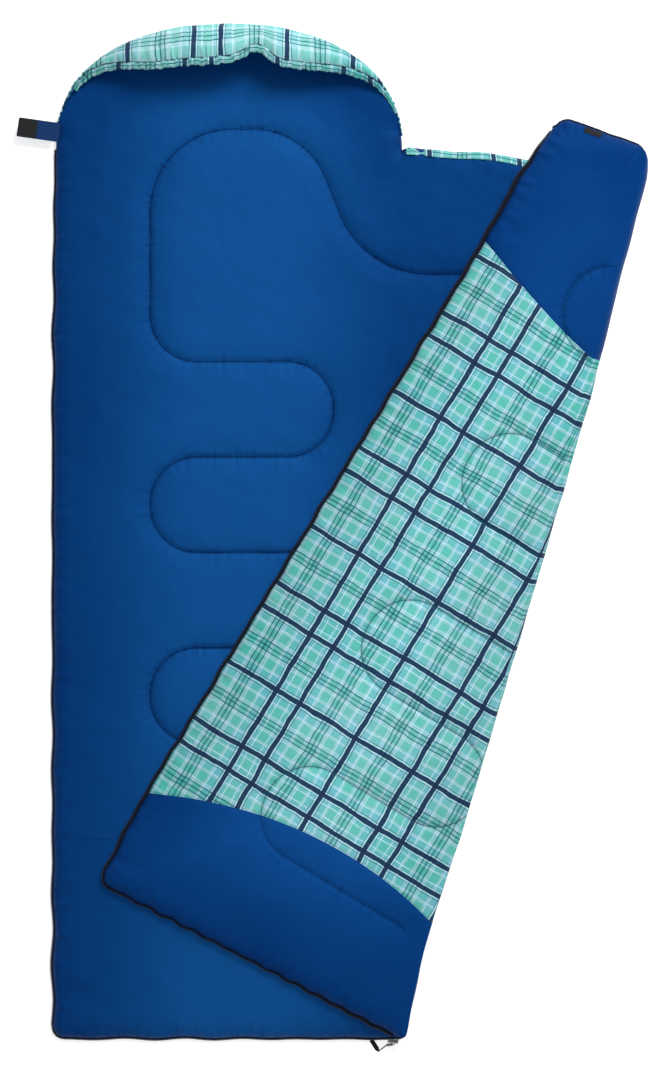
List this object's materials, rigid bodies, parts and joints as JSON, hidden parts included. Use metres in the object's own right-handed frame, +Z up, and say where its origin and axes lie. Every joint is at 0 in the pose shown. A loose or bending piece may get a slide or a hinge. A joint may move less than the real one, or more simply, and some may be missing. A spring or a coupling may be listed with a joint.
{
  "type": "rectangular sleeping bag",
  "caption": "Hooded envelope sleeping bag lying open, its top quilt turned back diagonally; the top folds closed, a zip slider, its pull and a head tab move.",
  "frame": {"origin": "on the ground under the middle of the base quilt's width, about midway from foot edge to head hem", "axes": "+Y from the foot to the hood, +X towards the side line about which the top quilt opens, +Z up"},
  "size_m": [1.3551, 2.2068, 0.1105],
  "materials": {
    "shell_plaid": "printed plaid polyester",
    "shell_blue": "plain woven polyester",
    "lining_blue": "satin polyester",
    "batting": "hollow-fibre wadding",
    "stitching": "polyester thread",
    "zip_tape": "woven tape",
    "zip_coil": "nylon coil",
    "elastic": "braided elastic",
    "slider_metal": "die-cast, worn grey enamel",
    "black_ribbon": "woven ribbon",
    "tab_webbing": "woven navy patch",
    "hook_and_loop": "hook-and-loop pile"
  },
  "bodies": {
    "base": {"base_outer_shell": "shell_plaid", "base_foot_panel": "shell_blue", "base_insulation": "batting", "base_lining": "lining_blue", "base_quilting_thread": "stitching", "hood_outer_shell": "shell_plaid", "hood_insulation": "batting", "hood_lining": "lining_blue", "hood_channel": "shell_plaid", "hood_elastic": "elastic", "base_zip_tape": "zip_tape", "base_zip_coil": "zip_coil"},
    "top_side": {"top_side_yoke": "shell_blue", "top_side_shell": "shell_plaid", "top_side_foot_panel": "shell_blue", "top_side_insulation": "batting", "top_side_lining": "lining_blue", "top_side_head_hem": "shell_plaid", "top_side_quilting_thread": "stitching"},
    "top_flap": {"flap_yoke": "shell_blue", "flap_shell": "shell_plaid", "flap_foot_panel": "shell_blue", "flap_insulation": "batting", "flap_lining": "lining_blue", "flap_quilting_thread": "stitching", "flap_zip_tape": "zip_tape", "flap_zip_coil": "zip_coil", "flap_head_binding": "black_ribbon", "flap_loop_patch": "hook_and_loop"},
    "head_tab": {"closure_tab": "tab_webbing", "closure_hook_patch": "hook_and_loop"},
    "slider": {"zip_slider": "slider_metal"},
    "pull": {"zip_pull": "slider_metal"},
    "ribbon": {"zip_pull_loop": "black_ribbon", "zip_ribbon": "black_ribbon"}
  },
  "joints": [
    {"name": "side_fold", "type": "hinge", "parent": "base", "child": "top_side", "pos_m": [0.375, -0.947, 0.0246], "axis": [0, -1, 0], "range_deg": [0, 180]},
    {"name": "diagonal_fold", "type": "hinge", "parent": "top_side", "child": "top_flap", "pos_m": [0.375, -0.947, 0.0246], "axis": [0.2639, 0.9646, 0], "range_deg": [0, 180]},
    {"name": "tab_fold", "type": "hinge", "parent": "base", "child": "head_tab", "pos_m": [-0.366, 0.997, 0.026], "axis": [0.1392, 0.9903, 0], "range_deg": [0, 180]},
    {"name": "slider_run", "type": "slide", "parent": "base", "child": "slider", "axis": [-1, 0, 0], "range_m": [0, 0.66]},
    {"name": "pull_swing", "type": "hinge", "parent": "slider", "child": "pull", "pos_m": [0.35, -0.9615, 0.003], "axis": [0, 0, 1], "range_deg": [0, 60]},
    {"name": "ribbon_swing", "type": "hinge", "parent": "pull", "child": "ribbon", "pos_m": [0.337, -0.9635, 0.002], "axis": [0, 0, 1], "range_deg": [0, 60]}
  ],
  "couplings": [
    {"joint": "diagonal_fold", "follows": "side_fold", "ratio": 1}
  ]
}
